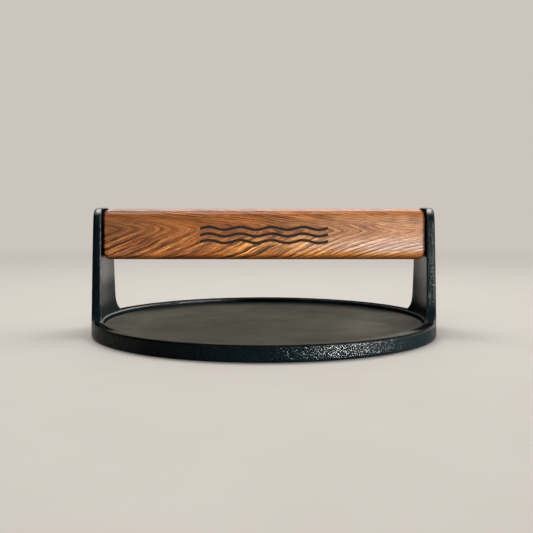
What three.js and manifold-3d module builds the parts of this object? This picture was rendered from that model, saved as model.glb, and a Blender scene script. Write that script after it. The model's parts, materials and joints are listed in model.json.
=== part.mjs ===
// Round cast-iron bacon press with a hardwood bar handle.
//
// Frame: millimetres, +Z up. The origin is the centre of the flat pressing face, which lies in z = 0.
// The handle bar runs along X. The two uprights stand at +X and -X.
//
// How it comes apart: four countersunk machine screws go in from outside the uprights, each through
// a spacer washer and into a brass threaded insert sunk in the end grain of the handle. With the
// screws out, the handle lifts away and leaves the casting: disc, rim and uprights in one piece.
import * as THREE from "three";
import { mergeVertices } from "three/addons/utils/BufferGeometryUtils.js";
import Module from "manifold-3d";

// ---------------------------------------------------------------- driving dimensions (mm)
const DISC_R = 105; // outer radius, at the rim
const FLOOR_Z = 5.8; // thickness of the disc inside the rim
const RIM_TOP_Z = FLOOR_Z + 3;
const RIM_INNER_R = DISC_R - 7;
const FOOT_INSET = 0.1; // the outer wall leans in by this much at its foot
const FOOT_EDGE_R = 1.7; // round-over where the outer wall meets the pressing face
const RIM_EDGE_R = 1; // round-over of the rim's top edges
const FLOOR_FILLET_R = 1.5; // fillet where the rim meets the floor

const UPRIGHT_INNER_R = 99.2; // the inner faces are arcs about the disc's axis
const UPRIGHT_ROOT_R = DISC_R - 0.12; // outer radius where the uprights start, inside the rim
const UPRIGHT_TOP_R = 104; // outer radius at the top of the draft
const UPRIGHT_TOP_Z = 76.3;
const UPRIGHT_HALF_TOP = 18.3; // half width of the straight taper if carried up to the top
const UPRIGHT_HALF_ROOT = 25; // and if carried down to the rim
const SHOULDER_R = 11; // rounded top corners
const ROOT_FILLET_R = 13; // sweep where each side runs out onto the rim

const BAR_LENGTH = 194.4;
const BAR_DEPTH = 28;
const BAR_HEIGHT = 30.6;
const BAR_MID_Z = 60.2;
const BAR_EDGE_R = 4; // round-over along the bar
const BAR_END_R = 3.5; // round-over at the bar's ends
const BAR_END_X = BAR_LENGTH / 2;

const GAP = 0.3; // kept round a fastener in its hole

const SCREW_PITCH_Z = 15; // the two screws at each end, one above the other
const SCREW_Z = [BAR_MID_Z + SCREW_PITCH_Z / 2, BAR_MID_Z - SCREW_PITCH_Z / 2];
const SCREW_R = 2.25; // M5, drawn at the thread's pitch radius
const SCREW_LENGTH = 20; // over the head, as countersunk screws are measured
const SCREW_TIP_CHAMFER = 0.6;
const HEAD_R = 5; // 90 degree countersunk head
const HEAD_X = UPRIGHT_TOP_R - 0.3; // outer face of the head, just under the upright's outer face
const HEAD_LAND = 0.3; // short cylindrical edge of the head
const HEAD_LAND_X = HEAD_X - HEAD_LAND; // where the land meets the cone
const HEX_AF = 3; // socket across flats
const HEX_DEPTH = 2;
const HEX_POINT = 0.6; // depth of the cone at the socket's bottom
const CLEARANCE_R = SCREW_R + 0.5; // hole through the upright and the washer

const WASHER_R = 6;
const WASHER_T = 1.4;
const WASHER_X = BAR_END_X + 0.25; // face nearest the bar
const WASHER_CHAMFER = 0.2;

const INSERT_LENGTH = 12;
const INSERT_R = 4; // over the wood thread
const INSERT_FLANGE_R = 5.5;
const INSERT_FLANGE_T = 1;
const INSERT_X = BAR_END_X - 0.1; // outer face of the flange
const INSERT_THREAD_DEPTH = 0.7;
const INSERT_THREAD_MARGIN = 0.6; // plain length at each end of the thread
const INSERT_RINGS = 3; // coarse rings stand for the wood thread
const PILOT_DEPTH = 20; // hole in the end grain, to its full radius
const PILOT_POINT = 2; // drill point beyond that

// Tool bodies overrun the part they cut, so that no faces coincide.
const SLAB_X = [85, 110]; // an upright's outline is pushed through between these
const UPRIGHT_HOLE_X = [95, 110]; // reach of the hole cutters in the uprights
const RING_SINK = 2; // ring carried down into the rim
const RING_OVERRUN = 1; // and up past the uprights' top
const OUTLINE_SINK = 1.5; // outline carried down into the rim
const OUTLINE_MARGIN_Y = 0.5; // extra half width of that sunk part
const OUTLINE_STEP_Z = 0.02; // its upper corner stays this far under the rim's top
const PILOT_OVERRUN = 5;
const HEX_OVERRUN = 1;

const ROUND_FACETS = 128; // round the disc
const SMALL_FACETS = 20; // round a fastener
const EDGE_STEPS = 3; // along each round-over of the disc
const OUTLINE_STEPS = 8; // along each arc of an upright's outline

// ---------------------------------------------------------------- solids
const wasm = await Module();
wasm.setup();

function solid(geometry) {
  geometry.deleteAttribute("normal");
  geometry.deleteAttribute("uv");
  const merged = mergeVertices(geometry, 1e-4);
  return new wasm.Manifold(
    new wasm.Mesh({
      numProp: 3,
      vertProperties: new Float32Array(merged.attributes.position.array),
      triVerts: new Uint32Array(merged.index.array),
    }),
  );
}

function geometryOf(manifold) {
  const mesh = manifold.getMesh();
  const positions = new Float32Array(mesh.vertProperties);
  const geometry = new THREE.BufferGeometry();
  geometry.setAttribute("position", new THREE.BufferAttribute(positions, 3));
  geometry.setIndex(new THREE.BufferAttribute(new Uint32Array(mesh.triVerts), 1));
  geometry.computeVertexNormals();
  return geometry;
}

// [x, y] points of an arc, ends included; angles in degrees.
function arc(centreX, centreY, radius, from, to, steps) {
  const points = [];
  for (let i = 0; i <= steps; i++) {
    const angle = THREE.MathUtils.degToRad(from + ((to - from) * i) / steps);
    points.push([centreX + radius * Math.cos(angle), centreY + radius * Math.sin(angle)]);
  }
  return points;
}

const toVectors = (points) => points.map(([x, y]) => new THREE.Vector2(x, y));

// A lathe about Z from [radius, z] points that start and end on the axis or close on themselves.
function turned(profile, facets) {
  return new THREE.LatheGeometry(toVectors(profile), facets).rotateX(Math.PI / 2);
}

// The same about X, from [radius, x] points.
function turnedAlongX(profile, facets = SMALL_FACETS) {
  return turned(profile, facets).rotateY(Math.PI / 2);
}

// A shape drawn in (y, z) and extruded along +X from x = 0.
function extrudedAlongX(shape, options) {
  const toX = new THREE.Matrix4().makeBasis(
    new THREE.Vector3(0, 1, 0),
    new THREE.Vector3(0, 0, 1),
    new THREE.Vector3(1, 0, 0),
  );
  return new THREE.ExtrudeGeometry(shape, options).applyMatrix4(toX);
}

// Cuts the same turned hole at all four screw places; the profile is drawn for the +X end.
function cutScrewHoles(body, profile) {
  for (const side of [1, -1]) {
    for (const z of SCREW_Z) {
      const cutter = turnedAlongX(profile);
      if (side < 0) cutter.rotateZ(Math.PI);
      body = body.subtract(solid(cutter.translate(0, 0, z)));
    }
  }
  return body;
}

// ---------------------------------------------------------------- the casting
// Disc with a raised rim: flat underneath, a shallow tray on top.
function discSolid() {
  const rimEdgeZ = RIM_TOP_Z - RIM_EDGE_R;
  const footR = DISC_R - FOOT_INSET - FOOT_EDGE_R;
  const filletR = RIM_INNER_R - FLOOR_FILLET_R;
  const filletZ = FLOOR_Z + FLOOR_FILLET_R;
  const profile = [
    [0, 0],
    ...arc(footR, FOOT_EDGE_R, FOOT_EDGE_R, -90, 0, EDGE_STEPS),
    ...arc(DISC_R - RIM_EDGE_R, rimEdgeZ, RIM_EDGE_R, 0, 90, EDGE_STEPS),
    ...arc(RIM_INNER_R + RIM_EDGE_R, rimEdgeZ, RIM_EDGE_R, 90, 180, EDGE_STEPS),
    ...arc(filletR, filletZ, FLOOR_FILLET_R, 0, -90, EDGE_STEPS),
    [0, FLOOR_Z],
  ];
  return solid(turned(profile, ROUND_FACETS));
}

// The ring that the uprights are cut from: a plain bore inside, drafted outside.
function ringSolid() {
  const low = RIM_TOP_Z - RING_SINK;
  const high = UPRIGHT_TOP_Z + RING_OVERRUN;
  const profile = [
    [UPRIGHT_INNER_R, low],
    [UPRIGHT_ROOT_R, low],
    [UPRIGHT_TOP_R, high],
    [UPRIGHT_INNER_R, high],
    [UPRIGHT_INNER_R, low],
  ];
  return solid(turned(profile, ROUND_FACETS));
}

// Outline of one upright seen along X, in (y, z).
function uprightOutline() {
  const slope = (UPRIGHT_HALF_ROOT - UPRIGHT_HALF_TOP) / (UPRIGHT_TOP_Z - RIM_TOP_Z);
  const sideY = (z) => UPRIGHT_HALF_ROOT - slope * (z - RIM_TOP_Z);
  const tilt = Math.atan(slope); // the side leans in by this much from upright
  const tiltDegrees = THREE.MathUtils.radToDeg(tilt);

  // Both arcs are tangent to the straight side: the root sweep also to the rim's top plane,
  // the shoulder also to the flat top.
  const rootZ = RIM_TOP_Z + ROOT_FILLET_R;
  const rootY = sideY(rootZ) + ROOT_FILLET_R / Math.cos(tilt);
  const shoulderZ = UPRIGHT_TOP_Z - SHOULDER_R;
  const shoulderY = sideY(shoulderZ) - SHOULDER_R / Math.cos(tilt);

  const baseY = rootY + OUTLINE_MARGIN_Y;
  const half = [
    [baseY, RIM_TOP_Z - OUTLINE_SINK],
    [baseY, RIM_TOP_Z - OUTLINE_STEP_Z],
    // The sweep's first point is left out: the sunk corner beside it takes its place.
    ...arc(rootY, rootZ, ROOT_FILLET_R, 270, 180 + tiltDegrees, OUTLINE_STEPS).slice(1),
    ...arc(shoulderY, shoulderZ, SHOULDER_R, tiltDegrees, 90, OUTLINE_STEPS),
  ];
  const mirrored = half.map(([y, z]) => [-y, z]).reverse();
  return new THREE.Shape(toVectors([...half, ...mirrored]));
}

// The outline pushed through the ring at the +X or -X side.
function outlineSlab(side) {
  const [near, far] = SLAB_X;
  const slab = extrudedAlongX(uprightOutline(), { depth: far - near, bevelEnabled: false });
  return solid(slab.translate(side > 0 ? near : -far, 0, 0));
}

// Clearance hole with a countersink, GAP clear of the screw's head all round.
function countersinkProfile() {
  const [inner, outer] = UPRIGHT_HOLE_X;
  const mouthR = HEAD_R + GAP;
  const apex = HEAD_LAND_X - HEAD_R - GAP * Math.SQRT2; // where the 45 degree flank meets the axis
  return [
    [0, inner],
    [CLEARANCE_R, inner],
    [CLEARANCE_R, apex + CLEARANCE_R],
    [mouthR, apex + mouthR],
    [mouthR, outer],
    [0, outer],
  ];
}

function castingGeometry() {
  const ring = ringSolid();
  let casting = discSolid();
  for (const side of [1, -1]) casting = casting.add(ring.intersect(outlineSlab(side)));
  return geometryOf(cutScrewHoles(casting, countersinkProfile()));
}

// ---------------------------------------------------------------- the bar
function barSolid() {
  const cornerY = BAR_DEPTH / 2 - BAR_EDGE_R;
  const cornerZ = BAR_HEIGHT / 2 - BAR_EDGE_R;
  const section = new THREE.Shape();
  section.moveTo(-cornerY, -BAR_HEIGHT / 2);
  section.lineTo(cornerY, -BAR_HEIGHT / 2);
  // Anticlockwise from lower +Y; each arc is joined to the last by a straight side.
  [
    [1, -1],
    [1, 1],
    [-1, 1],
    [-1, -1],
  ].forEach(([signY, signZ], i) => {
    const from = ((i - 1) * Math.PI) / 2;
    const to = (i * Math.PI) / 2;
    section.absarc(signY * cornerY, signZ * cornerZ, BAR_EDGE_R, from, to, false);
  });
  const bar = extrudedAlongX(section, {
    depth: BAR_LENGTH - 2 * BAR_END_R,
    bevelEnabled: true,
    bevelThickness: BAR_END_R,
    bevelSize: BAR_END_R,
    bevelOffset: -BAR_END_R,
    bevelSegments: 4,
    curveSegments: 5,
  });
  return solid(bar.translate(-BAR_END_X + BAR_END_R, 0, BAR_MID_Z));
}

// Stepped hole in the end grain: drill point, the insert's bore, then a seat for its flange.
function pilotProfile() {
  const boreR = INSERT_R + GAP;
  const seatR = INSERT_FLANGE_R + GAP;
  const seat = INSERT_X - INSERT_FLANGE_T - GAP;
  const bottom = BAR_END_X - PILOT_DEPTH;
  const outer = BAR_END_X + PILOT_OVERRUN;
  return [
    [0, bottom - PILOT_POINT],
    [boreR, bottom],
    [boreR, seat],
    [seatR, seat],
    [seatR, outer],
    [0, outer],
  ];
}

function barGeometry() {
  return geometryOf(cutScrewHoles(barSolid(), pilotProfile()));
}

// ---------------------------------------------------------------- fasteners, at +X about the X axis
function screwGeometry() {
  const tip = HEAD_X - SCREW_LENGTH;
  const body = turnedAlongX([
    [0, tip],
    [SCREW_R - SCREW_TIP_CHAMFER, tip],
    [SCREW_R, tip + SCREW_TIP_CHAMFER],
    [SCREW_R, HEAD_LAND_X - (HEAD_R - SCREW_R)],
    [HEAD_R, HEAD_LAND_X],
    [HEAD_R, HEAD_X],
    [0, HEAD_X],
  ]);
  const hexR = HEX_AF / Math.sqrt(3); // over the corners
  const hexBottom = HEAD_X - HEX_DEPTH;
  const socket = turnedAlongX(
    [
      [0, hexBottom - HEX_POINT],
      [hexR, hexBottom],
      [hexR, HEAD_X + HEX_OVERRUN],
      [0, HEAD_X + HEX_OVERRUN],
    ],
    6,
  );
  return geometryOf(solid(body).subtract(solid(socket)));
}

function washerGeometry() {
  const inner = WASHER_X;
  const outer = WASHER_X + WASHER_T;
  return turnedAlongX([
    [CLEARANCE_R, inner],
    [WASHER_R - WASHER_CHAMFER, inner],
    [WASHER_R, inner + WASHER_CHAMFER],
    [WASHER_R, outer - WASHER_CHAMFER],
    [WASHER_R - WASHER_CHAMFER, outer],
    [CLEARANCE_R, outer],
    [CLEARANCE_R, inner],
  ]);
}

function insertGeometry() {
  const boreR = SCREW_R + GAP;
  const coreR = INSERT_R - INSERT_THREAD_DEPTH;
  const inner = INSERT_X - INSERT_LENGTH;
  const flange = INSERT_X - INSERT_FLANGE_T;
  const threadStart = inner + INSERT_THREAD_MARGIN;
  const pitch = (flange - INSERT_THREAD_MARGIN - threadStart) / INSERT_RINGS;
  const profile = [
    [boreR, inner],
    [coreR, inner],
  ];
  for (let i = 0; i < INSERT_RINGS; i++) {
    const start = threadStart + i * pitch;
    // One ring: foot, narrow crest, foot, at fractions of the pitch.
    profile.push(
      [coreR, start],
      [INSERT_R, start + pitch * 0.4],
      [INSERT_R, start + pitch * 0.55],
      [coreR, start + pitch * 0.95],
    );
  }
  profile.push(
    [coreR, flange],
    [INSERT_FLANGE_R, flange],
    [INSERT_FLANGE_R, INSERT_X],
    [boreR, INSERT_X],
    [boreR, inner],
  );
  return turnedAlongX(profile);
}

// ---------------------------------------------------------------- materials
const iron = new THREE.MeshStandardMaterial({
  name: "seasoned_cast_iron",
  color: 0x1d1f1f,
  roughness: 0.5,
  metalness: 0.6,
});
const wood = new THREE.MeshStandardMaterial({
  name: "oiled_hardwood",
  color: 0x9a5c34,
  roughness: 0.45,
  metalness: 0,
});
const steel = new THREE.MeshStandardMaterial({
  name: "stainless_steel",
  color: 0xb4b4b2,
  roughness: 0.3,
  metalness: 1,
});
const brass = new THREE.MeshStandardMaterial({
  name: "brass",
  color: 0xb8933f,
  roughness: 0.35,
  metalness: 1,
});

// ---------------------------------------------------------------- scene graph
function put(parent, name, geometry, material, z = 0) {
  const mesh = new THREE.Mesh(geometry, material);
  mesh.name = name;
  mesh.position.z = z;
  parent.add(mesh);
}

const press = new THREE.Group();
put(press, "cast_iron_body", castingGeometry(), iron);
put(press, "handle_bar", barGeometry(), wood);

const fasteners = [
  ["handle_screw", screwGeometry(), steel],
  ["spacer_washer", washerGeometry(), steel],
  ["threaded_insert", insertGeometry(), brass],
];
for (const [end, turn] of [
  ["right", 0],
  ["left", Math.PI],
]) {
  const fixings = new THREE.Group(); // the fixings of one end, turned to face outwards
  fixings.rotation.z = turn;
  press.add(fixings);
  ["upper", "lower"].forEach((level, i) => {
    for (const [name, geometry, material] of fasteners) {
      put(fixings, `${name}_${end}_${level}`, geometry, material, SCREW_Z[i]);
    }
  });
}

export default press;
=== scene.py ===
import json
import math

import bmesh
import bpy
import numpy as np
from mathutils import Matrix, Vector, noise

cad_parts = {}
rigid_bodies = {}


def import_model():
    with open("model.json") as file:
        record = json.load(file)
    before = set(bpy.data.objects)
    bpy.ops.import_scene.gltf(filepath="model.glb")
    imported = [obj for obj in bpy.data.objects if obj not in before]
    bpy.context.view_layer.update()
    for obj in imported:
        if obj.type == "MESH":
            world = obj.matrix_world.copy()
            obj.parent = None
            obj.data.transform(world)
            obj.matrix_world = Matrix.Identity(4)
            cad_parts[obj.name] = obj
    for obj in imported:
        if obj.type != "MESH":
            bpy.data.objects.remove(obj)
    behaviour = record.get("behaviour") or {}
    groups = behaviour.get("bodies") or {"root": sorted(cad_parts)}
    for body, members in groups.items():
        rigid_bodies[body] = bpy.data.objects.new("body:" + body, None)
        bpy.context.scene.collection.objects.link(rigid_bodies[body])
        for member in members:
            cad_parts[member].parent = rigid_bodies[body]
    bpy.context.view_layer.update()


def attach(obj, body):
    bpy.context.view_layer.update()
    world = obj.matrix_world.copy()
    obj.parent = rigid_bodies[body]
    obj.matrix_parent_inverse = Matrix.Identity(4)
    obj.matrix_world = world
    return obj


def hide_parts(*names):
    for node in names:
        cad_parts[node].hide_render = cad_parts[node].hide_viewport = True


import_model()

MM = 0.001

# ------------------------------------------------------------------ sizes in millimetres, the same as the solids
DISC_R, RIM_IN, RIM_Z, FLOOR_Z = 105.0, 98.0, 8.8, 5.8
FOOT_R = 1.7
ARM_IN, ARM_TOP_R, ARM_TOP_Z = 99.2, 104.0, 76.3
HALF_TOP, HALF_ROOT, SHOULDER_R, ROOT_R = 18.3, 25.0, 11.0, 13.0
BAR_L, BAR_D, BAR_H, BAR_Z = 194.4, 28.0, 30.6, 60.2
BAR_R, END_SIDE_R, END_TOP_R = 3.9, 1.0, 3.5
SCREW_Z = (67.7, 52.7)
REF_R = 102.0


# ------------------------------------------------------------------ mesh helpers
def make_object(name, verts, faces, smooth=True):
    mesh = bpy.data.meshes.new(name)
    mesh.from_pydata([tuple(v) for v in verts], [], [tuple(f) for f in faces])
    mesh.update()
    ob = bpy.data.objects.new(name, mesh)
    bpy.context.scene.collection.objects.link(ob)
    if smooth:
        mesh.polygons.foreach_set("use_smooth", [True] * len(mesh.polygons))
    return ob


def apply_modifiers(ob):
    dg = bpy.context.evaluated_depsgraph_get()
    fresh = bpy.data.meshes.new_from_object(ob.evaluated_get(dg))
    old = ob.data
    ob.modifiers.clear()
    ob.data = fresh
    bpy.data.meshes.remove(old)


def cut(ob, cutter):
    m = ob.modifiers.new("cut", "BOOLEAN")
    m.operation, m.solver, m.object = "DIFFERENCE", "EXACT", cutter
    apply_modifiers(ob)
    data = cutter.data
    bpy.data.objects.remove(cutter)
    bpy.data.meshes.remove(data)


def sharpen(ob, degrees=32.0):
    """Smooth shading, with the real corners kept as sharp edges."""
    me = ob.data
    me.polygons.foreach_set("use_smooth", [True] * len(me.polygons))
    me.set_sharp_from_angle(angle=math.radians(degrees))


def set_attribute(ob, name, values):
    a = ob.data.attributes.get(name) or ob.data.attributes.new(name, "FLOAT", "POINT")
    a.data.foreach_set("value", np.asarray(values, np.float32))


def coords(ob):
    co = np.zeros(len(ob.data.vertices) * 3, np.float32)
    ob.data.vertices.foreach_get("co", co)
    return co.reshape(-1, 3).astype(float)


def normals(ob):
    no = np.zeros(len(ob.data.vertices) * 3, np.float32)
    ob.data.vertex_normals.foreach_get("vector", no)
    return no.reshape(-1, 3).astype(float)


def convexity(ob, rounds=1):
    """Signed curvature at each vertex, in 1/mm: positive on an outside edge."""
    co, no = coords(ob) / MM, normals(ob)
    e = np.zeros(len(ob.data.edges) * 2, np.int32)
    ob.data.edges.foreach_get("vertices", e)
    e = e.reshape(-1, 2)
    d = co[e[:, 0]] - co[e[:, 1]]
    l2 = np.maximum((d * d).sum(1), 1e-6)
    c = ((no[e[:, 0]] - no[e[:, 1]]) * d).sum(1) / l2
    best = np.zeros(len(co))
    np.maximum.at(best, e[:, 0], c)
    np.maximum.at(best, e[:, 1], c)
    for _ in range(rounds):
        s, n = np.zeros(len(co)), np.zeros(len(co))
        np.add.at(s, e[:, 0], best[e[:, 1]])
        np.add.at(s, e[:, 1], best[e[:, 0]])
        np.add.at(n, e[:, 0], 1)
        np.add.at(n, e[:, 1], 1)
        best = 0.5 * best + 0.5 * s / np.maximum(n, 1)
    return best


def smoothstep(t):
    t = np.clip(t, 0.0, 1.0)
    return t * t * (3 - 2 * t)


def revolve_x(profile, segments, side=1, radius=None, z=0.0, close=False):
    """Verts and faces of a solid of revolution about the X axis at height z.
    profile is a list of (r, x), from the axis round to the axis, or a closed loop if close is set.
    radius(k, angle, r, x) can change a ring's radius round the turn."""
    verts, rings = [], []
    for k, (r, x) in enumerate(profile):
        if r < 1e-9:
            rings.append([len(verts)])
            verts.append((side * x, 0.0, z))
            continue
        ring = []
        for i in range(segments):
            a = 2 * math.pi * i / segments
            rr = radius(k, a, r, x) if radius else r
            ring.append(len(verts))
            verts.append((side * x, side * rr * math.sin(a), z + rr * math.cos(a)))
        rings.append(ring)
    faces = []
    pairs = list(zip(rings, rings[1:])) + ([(rings[-1], rings[0])] if close else [])
    for p, q in pairs:
        for i in range(segments):
            j = (i + 1) % segments
            if len(p) == 1:
                faces.append((p[0], q[i], q[j]))
            elif len(q) == 1:
                faces.append((p[i], q[0], p[j]))
            else:
                faces.append((p[i], q[i], q[j], p[j]))
    return verts, faces


def finish_piece(ob, degrees=32.0):
    """Millimetres to metres, faces pointing out, corners kept sharp."""
    bm = bmesh.new()
    bm.from_mesh(ob.data)
    bmesh.ops.remove_doubles(bm, verts=bm.verts, dist=1e-5)
    bmesh.ops.recalc_face_normals(bm, faces=bm.faces)
    bm.to_mesh(ob.data)
    bm.free()
    ob.data.transform(Matrix.Scale(MM, 4))
    ob.data.update()
    sharpen(ob, degrees)


# ------------------------------------------------------------------ the casting
def side_half(z):
    return HALF_ROOT - (HALF_ROOT - HALF_TOP) / (ARM_TOP_Z - RIM_Z) * (z - RIM_Z)


def place(s, rho, z):
    """A point at radius rho whose line of travel crosses the reference circle at y = s.
    Across an upright the line runs along X; round the rim it runs through the axis; between them it turns."""
    s = min(max(s, 0.0), REF_R)
    cx = math.sqrt(max(REF_R * REF_R - s * s, 0.0))
    w = float(smoothstep((s - 25.0) / 22.0))
    dx, dy = (1 - w) + w * cx / REF_R, w * s / REF_R
    l = math.hypot(dx, dy)
    dx, dy = dx / l, dy / l
    b = cx * dx + s * dy
    t = -b + math.sqrt(max(b * b - (REF_R * REF_R - rho * rho), 0.0))
    return (cx + t * dx, s + t * dy, z)


def casting_quadrant():
    """One quarter of the casting, +X +Y, as verts and faces in millimetres. The bottom face is z = 0."""
    slope = (HALF_ROOT - HALF_TOP) / (ARM_TOP_Z - RIM_Z)
    tilt = math.atan(slope)
    root_z = RIM_Z + ROOT_R
    root_y = side_half(root_z) + ROOT_R / math.cos(tilt)
    top_z = ARM_TOP_Z - SHOULDER_R
    top_y = side_half(top_z) - SHOULDER_R / math.cos(tilt)
    NA, NB, ND = 44, 9, 9
    # outline vertices: s, z, outward normal in the (s, z) sheet
    A = []
    t0, t1 = math.pi / 2, math.asin(root_y / REF_R)
    for i in range(NA):
        a = t0 + (t1 - t0) * i / NA
        A.append((REF_R * math.sin(a), RIM_Z, 0.0, 1.0))
    B, switch = [], 216.0
    for i in range(NB + 1):
        a = math.radians(270 + (switch - 270) * i / NB)
        B.append((root_y + ROOT_R * math.cos(a), root_z + ROOT_R * math.sin(a), -math.cos(a), -math.sin(a)))
    C = []
    n_f, n_s, n_sh = 6, 22, 12
    end = 180 + math.degrees(tilt)
    for i in range(1, n_f + 1):
        a = math.radians(switch + (end - switch) * i / n_f)
        C.append((root_y + ROOT_R * math.cos(a), root_z + ROOT_R * math.sin(a), -math.cos(a), -math.sin(a)))
    z_lo, z_hi = C[-1][1], top_z + SHOULDER_R * math.sin(tilt)
    for i in range(1, n_s + 1):
        z = z_lo + (z_hi - z_lo) * i / n_s
        C.append((side_half(z), z, math.cos(tilt), math.sin(tilt)))
    for i in range(1, n_sh + 1):
        a = tilt + (math.pi / 2 - tilt) * i / n_sh
        C.append((top_y + SHOULDER_R * math.cos(a), top_z + SHOULDER_R * math.sin(a), math.cos(a), math.sin(a)))
    D = []
    for i in range(1, ND + 1):
        D.append((top_y * (1 - i / ND), ARM_TOP_Z, 0.0, 1.0))

    verts, faces = [], []

    def add(p):
        verts.append(p)
        return len(verts) - 1

    def quad(a, b, c, d):
        f = []
        for v in (a, b, c, d):
            if v not in f:
                f.append(v)
        if len(f) >= 3:
            faces.append(tuple(f))

    def grid(rows):
        for r0, r1 in zip(rows, rows[1:]):
            for i in range(len(r0) - 1):
                quad(r0[i], r0[i + 1], r1[i + 1], r1[i])

    def rho_out(z):
        return DISC_R - (DISC_R - ARM_TOP_R) * max(0.0, z - RIM_Z) / (ARM_TOP_Z - RIM_Z)

    R_C, R_E, R_F = 0.45, 0.75, 1.6  # foot of the upright's inner face; rim's inner edge; rim to floor

    def cap_radii(h):
        k = float(smoothstep((h - RIM_Z) / 9.0))
        return 1.0 + 0.6 * k + 0.7 * float(smoothstep((h - 66.0) / 9.0)), min(1.15, (h - RIM_Z) / 2)

    n_round, n_flat, n_in, n_wall, n_con, n_edge, n_fl = 6, 4, 5, 3, 3, 4, 5

    def cap_section(o):
        """From the outer face over the edge to the inner face: list of (s, rho, z)."""
        s, z, ns, nz = o
        ro, ri = cap_radii(z)
        out = []
        for i in range(n_round + 1):
            f = math.pi / 2 * i / n_round
            d, q = ro * (1 - math.sin(f)), ro * (1 - math.cos(f))
            zz = z - nz * d
            out.append((s - ns * d, rho_out(zz) - q, zz))
        a, b = rho_out(z) - ro, ARM_IN + ri
        for i in range(1, n_flat + 1):
            out.append((s, a + (b - a) * i / (n_flat + 1), z))
        for i in range(n_in + 1):
            f = math.pi / 2 * (1 - i / n_in)
            d, q = ri * (1 - math.sin(f)), ri * (1 - math.cos(f))
            out.append((s - ns * d, ARM_IN + q, z - nz * d))
        return out  # n_round + n_flat + n_in + 2 points

    def inner_foot(s, z_from, rc):
        """Below the inner face's border at (s, z_from): wall, concave foot, rim edge, recess wall, floor fillet."""
        out = []
        top = RIM_Z + rc
        for i in range(1, n_wall + 1):
            out.append((s, ARM_IN, z_from + (top - z_from) * i / n_wall))
        for i in range(1, n_con + 1):
            f = math.pi / 2 * i / n_con
            out.append((s, ARM_IN - rc * (1 - math.cos(f)), RIM_Z + rc * (1 - math.sin(f))))
        return out

    def rim_foot(s):
        out = []
        for i in range(0, n_edge + 1):
            f = math.pi / 2 * i / n_edge
            out.append((s, RIM_IN + R_E * (1 - math.sin(f)), RIM_Z - R_E * (1 - math.cos(f))))
        for i in range(0, n_fl + 1):
            f = math.pi / 2 * i / n_fl
            out.append((s, RIM_IN - R_F * (1 - math.cos(f)), FLOOR_Z + R_F * (1 - math.sin(f))))
        return out

    # every outline vertex's section
    outline = A + B + C + D
    nAB = len(A) + len(B)
    sections = []
    for k, o in enumerate(outline):
        sec = cap_section(o)
        if k < nAB:
            dh = o[1] - RIM_Z
            rc = min(R_C, dh / 2)
            sec += inner_foot(sec[-1][0], sec[-1][2], rc)
            # where the step is still low its stations spread over the rim's flat top
            w = float(smoothstep(dh / 1.6))
            i0, i1 = n_round, len(sec)
            a, b = sec[n_round][1], RIM_IN + R_E + 0.12
            for i in range(i0, i1):
                t = (i - i0) / (i1 - i0)
                s_, r_, z_ = sec[i]
                sec[i] = (s_, (1 - w) * (a + (b - a) * t) + w * r_, z_)
            sec += rim_foot(o[0])
        sections.append(sec)
    ids = [[add(place(*p)) for p in sec] for sec in sections]
    n_cap = n_round + n_flat + n_in + 2
    # strips between neighbouring outline vertices
    for k in range(nAB - 1):
        a, b = ids[k], ids[k + 1]
        for i in range(len(a) - 1):
            quad(a[i], a[i + 1], b[i + 1], b[i])
    for k in range(nAB - 1, len(ids) - 1):
        a, b = ids[k], ids[k + 1]
        for i in range(n_cap - 1):
            quad(a[i], a[i + 1], b[i + 1], b[i])

    # the upright's faces above the switch row
    S = nAB - 1
    NC = len(C)

    def face_patch(station, rho_fn):
        left = [sections[S + j][station] for j in range(NC + 1)]
        left_ids = [ids[S + j][station] for j in range(NC + 1)]
        top = [sections[S + NC + c][station] for c in range(ND + 1)]
        top_ids = [ids[S + NC + c][station] for c in range(ND + 1)]
        z0, z1 = left[0][2], left[-1][2]
        rows = []
        for j in range(NC + 1):
            v = (left[j][2] - z0) / (z1 - z0)
            row = [left_ids[j]]
            for c in range(1, ND + 1):
                u = c / ND
                if j == NC:
                    row.append(top_ids[c])
                    continue
                s = left[j][0] * (1 - u)
                # rows stay level low down and follow the top edge near it
                zz = left[j][2]
                row.append(add(place(s, rho_fn(zz), zz)))
            rows.append(row)
        grid(rows)
        return rows[0], left[0]

    outer_row, outer_p = face_patch(0, rho_out)
    inner_row, inner_p = face_patch(n_cap - 1, lambda z: ARM_IN)

    # below the switch row, inside: wall, foot, rim edge, recess
    inner_cols = []
    for c in range(1, ND + 1):
        s = inner_p[0] * (1 - c / ND)
        col = [inner_row[c]]
        for p in inner_foot(s, inner_p[2], R_C):
            col.append(add(place(*p)))
        s2 = sections[S][-1][0] * (1 - c / ND)
        for p in rim_foot(s2):
            col.append(add(place(*p)))
        inner_cols.append(col)
    first = ids[S][n_cap - 1:]
    cols = [first] + inner_cols
    for a, b in zip(cols, cols[1:]):
        for i in range(len(a) - 1):
            quad(a[i], a[i + 1], b[i + 1], b[i])
    floor_ring = [ids[k][-1] for k in range(nAB)] + [c[-1] for c in inner_cols]
    floor_s = [sections[k][-1][0] for k in range(nAB)] + [sections[S][-1][0] * (1 - c / ND) for c in range(1, ND + 1)]

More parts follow.
